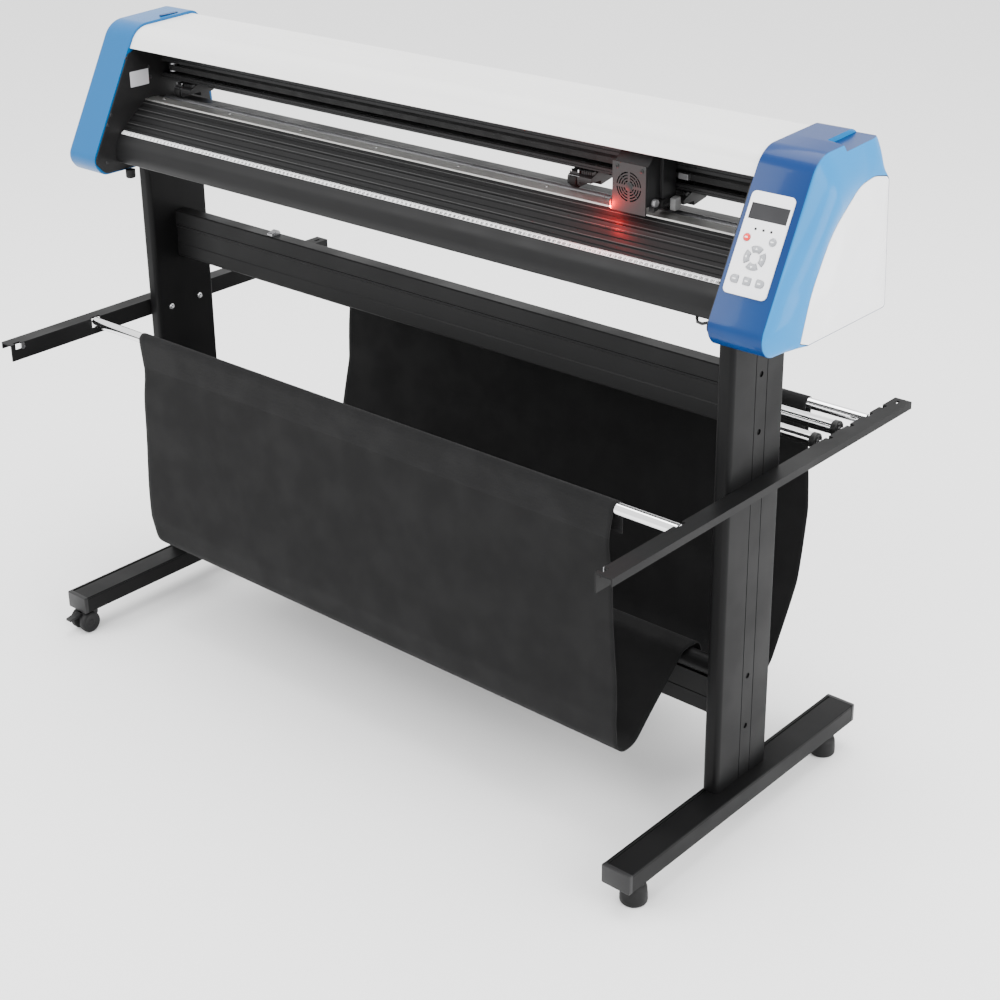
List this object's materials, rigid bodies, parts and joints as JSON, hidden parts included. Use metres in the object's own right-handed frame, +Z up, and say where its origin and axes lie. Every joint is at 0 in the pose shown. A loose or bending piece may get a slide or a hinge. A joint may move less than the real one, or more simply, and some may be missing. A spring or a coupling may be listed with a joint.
{
  "type": "vinyl cutter",
  "caption": "Roll-fed drag-knife vinyl cutter with a travelling head, pinch and grit rollers and a keypad, on a wheeled stand with roll bars and a cloth basket.",
  "frame": {"origin": "on the floor under the centre of the overall bounding box", "axes": "+X along the machine towards the keypad end, +Y towards the back where the media rolls lie, +Z up"},
  "size_m": [1.633, 0.835, 1.195],
  "materials": {
    "black_metal": "satin powder coat",
    "black_aluminium": "black anodised",
    "satin_aluminium": "satin",
    "chrome": "polished",
    "steel": "brushed",
    "rubber": "matte",
    "caster_rubber": "matte",
    "black_cloth": "plain weave",
    "azure_plastic": "gloss",
    "blue_plastic": "gloss",
    "white_plastic": "satin gloss",
    "black_plastic": "matte",
    "grey_plastic": "matte",
    "red_plastic": "gloss",
    "display_glass": "gloss window over a dark display",
    "board": "solder mask"
  },
  "bodies": {
    "machine": {"left_foot": "black_metal", "right_foot": "black_metal", "rubber_foot_front": "rubber", "rubber_foot_rear": "rubber", "left_post": "black_metal", "right_post": "black_metal", "upper_cross_beam": "black_metal", "lower_cross_beam": "black_metal", "left_arm": "black_metal", "right_arm": "black_metal", "front_basket_bar": "chrome", "rear_basket_bar": "chrome", "fabric_basket": "black_cloth", "platform": "black_aluminium", "cutting_strip": "satin_aluminium", "left_side_plate": "black_metal", "right_side_plate": "black_metal", "left_cap": "azure_plastic", "right_cap": "blue_plastic", "right_cover": "white_plastic", "hood": "white_plastic", "carriage_beam": "black_aluminium", "pinch_shaft": "steel", "keypad_panel": "white_plastic", "display_window": "display_glass", "main_board": "board", "power_supply": "steel", "power_inlet": "black_plastic", "feed_motor": "steel", "carriage_motor": "steel", "timing_belt": "rubber"},
    "feed_roller": {"grit_roller": "steel"},
    "head": {"carriage_body": "black_plastic", "fan_cover": "black_plastic"},
    "fan": {"fan_rotor": "black_plastic"},
    "tool": {"tool_holder": "satin_aluminium"},
    "drive_pulley": {"drive_pulley": "steel"},
    "idler_pulley": {"idler_pulley": "steel"},
    "pinch_arm_1": {"pinch_arm_1": "black_plastic"},
    "pinch_arm_2": {"pinch_arm_2": "black_plastic"},
    "pinch_arm_3": {"pinch_arm_3": "black_plastic"},
    "pinch_wheel_1": {"pinch_wheel_1": "rubber"},
    "pinch_wheel_2": {"pinch_wheel_2": "rubber"},
    "pinch_wheel_3": {"pinch_wheel_3": "rubber"},
    "front_roller": {"media_roller_front": "chrome"},
    "rear_roller": {"media_roller_rear": "chrome"},
    "front_fork": {"caster_front_fork": "black_plastic"},
    "rear_fork": {"caster_rear_fork": "black_plastic"},
    "front_wheels": {"caster_front_wheels": "caster_rubber"},
    "rear_wheels": {"caster_rear_wheels": "caster_rubber"},
    "brake": {"caster_brake": "black_plastic"},
    "stop_key": {"stop_button": "red_plastic"},
    "menu_key": {"menu_button": "grey_plastic"},
    "up_key": {"up_button": "grey_plastic"},
    "left_key": {"left_button": "grey_plastic"},
    "down_key": {"down_button": "grey_plastic"},
    "right_key": {"right_button": "grey_plastic"},
    "reset_key": {"reset_button": "grey_plastic"},
    "enter_key": {"enter_button": "grey_plastic"},
    "pause_key": {"pause_button": "grey_plastic"}
  },
  "joints": [
    {"name": "grit_roller_spin", "type": "hinge", "parent": "machine", "child": "feed_roller", "pos_m": [0, -0.005, 1.0357], "axis": [1, 0, 0], "continuous": true},
    {"name": "pinch_arm_1_lift", "type": "hinge", "parent": "machine", "child": "pinch_arm_1", "pos_m": [-0.68, 0.04, 1.066], "axis": [-1, 0, 0], "range_deg": [0, 4]},
    {"name": "pinch_wheel_1_spin", "type": "hinge", "parent": "pinch_arm_1", "child": "pinch_wheel_1", "pos_m": [-0.68, -0.005, 1.056], "axis": [1, 0, 0], "continuous": true},
    {"name": "pinch_arm_2_lift", "type": "hinge", "parent": "machine", "child": "pinch_arm_2", "pos_m": [0.302, 0.04, 1.066], "axis": [-1, 0, 0], "range_deg": [0, 4]},
    {"name": "pinch_wheel_2_spin", "type": "hinge", "parent": "pinch_arm_2", "child": "pinch_wheel_2", "pos_m": [0.302, -0.005, 1.056], "axis": [1, 0, 0], "continuous": true},
    {"name": "pinch_arm_3_lift", "type": "hinge", "parent": "machine", "child": "pinch_arm_3", "pos_m": [0.484, 0.04, 1.066], "axis": [-1, 0, 0], "range_deg": [0, 4]},
    {"name": "pinch_wheel_3_spin", "type": "hinge", "parent": "pinch_arm_3", "child": "pinch_wheel_3", "pos_m": [0.484, -0.005, 1.056], "axis": [1, 0, 0], "continuous": true},
    {"name": "head_travel", "type": "slide", "parent": "machine", "child": "head", "axis": [1, 0, 0], "range_m": [-1.15, 0.15]},
    {"name": "drive_pulley_spin", "type": "hinge", "parent": "machine", "child": "drive_pulley", "pos_m": [0.665, 0.004, 1.101], "axis": [0, 0, 1], "continuous": true},
    {"name": "idler_pulley_spin", "type": "hinge", "parent": "machine", "child": "idler_pulley", "pos_m": [-0.708, 0.004, 1.101], "axis": [0, 0, 1], "continuous": true},
    {"name": "fan_spin", "type": "hinge", "parent": "head", "child": "fan", "pos_m": [0.464, -0.071, 1.0916], "axis": [0, 1, 0], "continuous": true},
    {"name": "tool_plunge", "type": "slide", "parent": "head", "child": "tool", "axis": [0, 0, 1], "range_m": [-0.003, 0], "stiffness_N_per_m": 200, "springref_m": 0.004},
    {"name": "front_roller_spin", "type": "hinge", "parent": "machine", "child": "front_roller", "pos_m": [0, 0.1994, 0.6248], "axis": [1, 0, 0], "continuous": true},
    {"name": "rear_roller_spin", "type": "hinge", "parent": "machine", "child": "rear_roller", "pos_m": [0, 0.2655, 0.6248], "axis": [1, 0, 0], "continuous": true},
    {"name": "front_caster_swivel", "type": "hinge", "parent": "machine", "child": "front_fork", "pos_m": [-0.708, -0.318, 0.046], "axis": [0, 0, 1], "continuous": true},
    {"name": "front_caster_roll", "type": "hinge", "parent": "front_fork", "child": "front_wheels", "pos_m": [-0.708, -0.337, 0.022], "axis": [1, 0, 0], "continuous": true},
    {"name": "rear_caster_swivel", "type": "hinge", "parent": "machine", "child": "rear_fork", "pos_m": [-0.708, 0.27, 0.046], "axis": [0, 0, 1], "continuous": true},
    {"name": "rear_caster_roll", "type": "hinge", "parent": "rear_fork", "child": "rear_wheels", "pos_m": [-0.708, 0.289, 0.022], "axis": [1, 0, 0], "continuous": true},
    {"name": "caster_brake_press", "type": "hinge", "parent": "front_fork", "child": "brake", "pos_m": [-0.708, -0.3515, 0.0385], "axis": [1, 0, 0], "range_deg": [0, 12]},
    {"name": "stop_key_press", "type": "slide", "parent": "machine", "child": "stop_key", "axis": [0, 0.8848, -0.4659], "range_m": [0, 0.0009], "stiffness_N_per_m": 400, "springref_m": -0.0005},
    {"name": "menu_key_press", "type": "slide", "parent": "machine", "child": "menu_key", "axis": [0, 0.8848, -0.4659], "range_m": [0, 0.0009], "stiffness_N_per_m": 400, "springref_m": -0.0005},
    {"name": "up_key_press", "type": "slide", "parent": "machine", "child": "up_key", "axis": [0, 0.8848, -0.4659], "range_m": [0, 0.0009], "stiffness_N_per_m": 400, "springref_m": -0.0005},
    {"name": "left_key_press", "type": "slide", "parent": "machine", "child": "left_key", "axis": [0, 0.8848, -0.4659], "range_m": [0, 0.0009], "stiffness_N_per_m": 400, "springref_m": -0.0005},
    {"name": "down_key_press", "type": "slide", "parent": "machine", "child": "down_key", "axis": [0, 0.8848, -0.4659], "range_m": [0, 0.0009], "stiffness_N_per_m": 400, "springref_m": -0.0005},
    {"name": "right_key_press", "type": "slide", "parent": "machine", "child": "right_key", "axis": [0, 0.8848, -0.4659], "range_m": [0, 0.0009], "stiffness_N_per_m": 400, "springref_m": -0.0005},
    {"name": "reset_key_press", "type": "slide", "parent": "machine", "child": "reset_key", "axis": [0, 0.8848, -0.4659], "range_m": [0, 0.0009], "stiffness_N_per_m": 400, "springref_m": -0.0005},
    {"name": "enter_key_press", "type": "slide", "parent": "machine", "child": "enter_key", "axis": [0, 0.8848, -0.4659], "range_m": [0, 0.0009], "stiffness_N_per_m": 400, "springref_m": -0.0005},
    {"name": "pause_key_press", "type": "slide", "parent": "machine", "child": "pause_key", "axis": [0, 0.8848, -0.4659], "range_m": [0, 0.0009], "stiffness_N_per_m": 400, "springref_m": -0.0005}
  ],
  "couplings": [
    {"joint": "pinch_wheel_1_spin", "follows": "grit_roller_spin", "ratio": -0.8182},
    {"joint": "pinch_wheel_2_spin", "follows": "grit_roller_spin", "ratio": -0.8182},
    {"joint": "pinch_wheel_3_spin", "follows": "grit_roller_spin", "ratio": -0.8182},
    {"joint": "drive_pulley_spin", "follows": "head_travel", "rad_per_m": 112.36},
    {"joint": "idler_pulley_spin", "follows": "head_travel", "rad_per_m": 112.36}
  ]
}
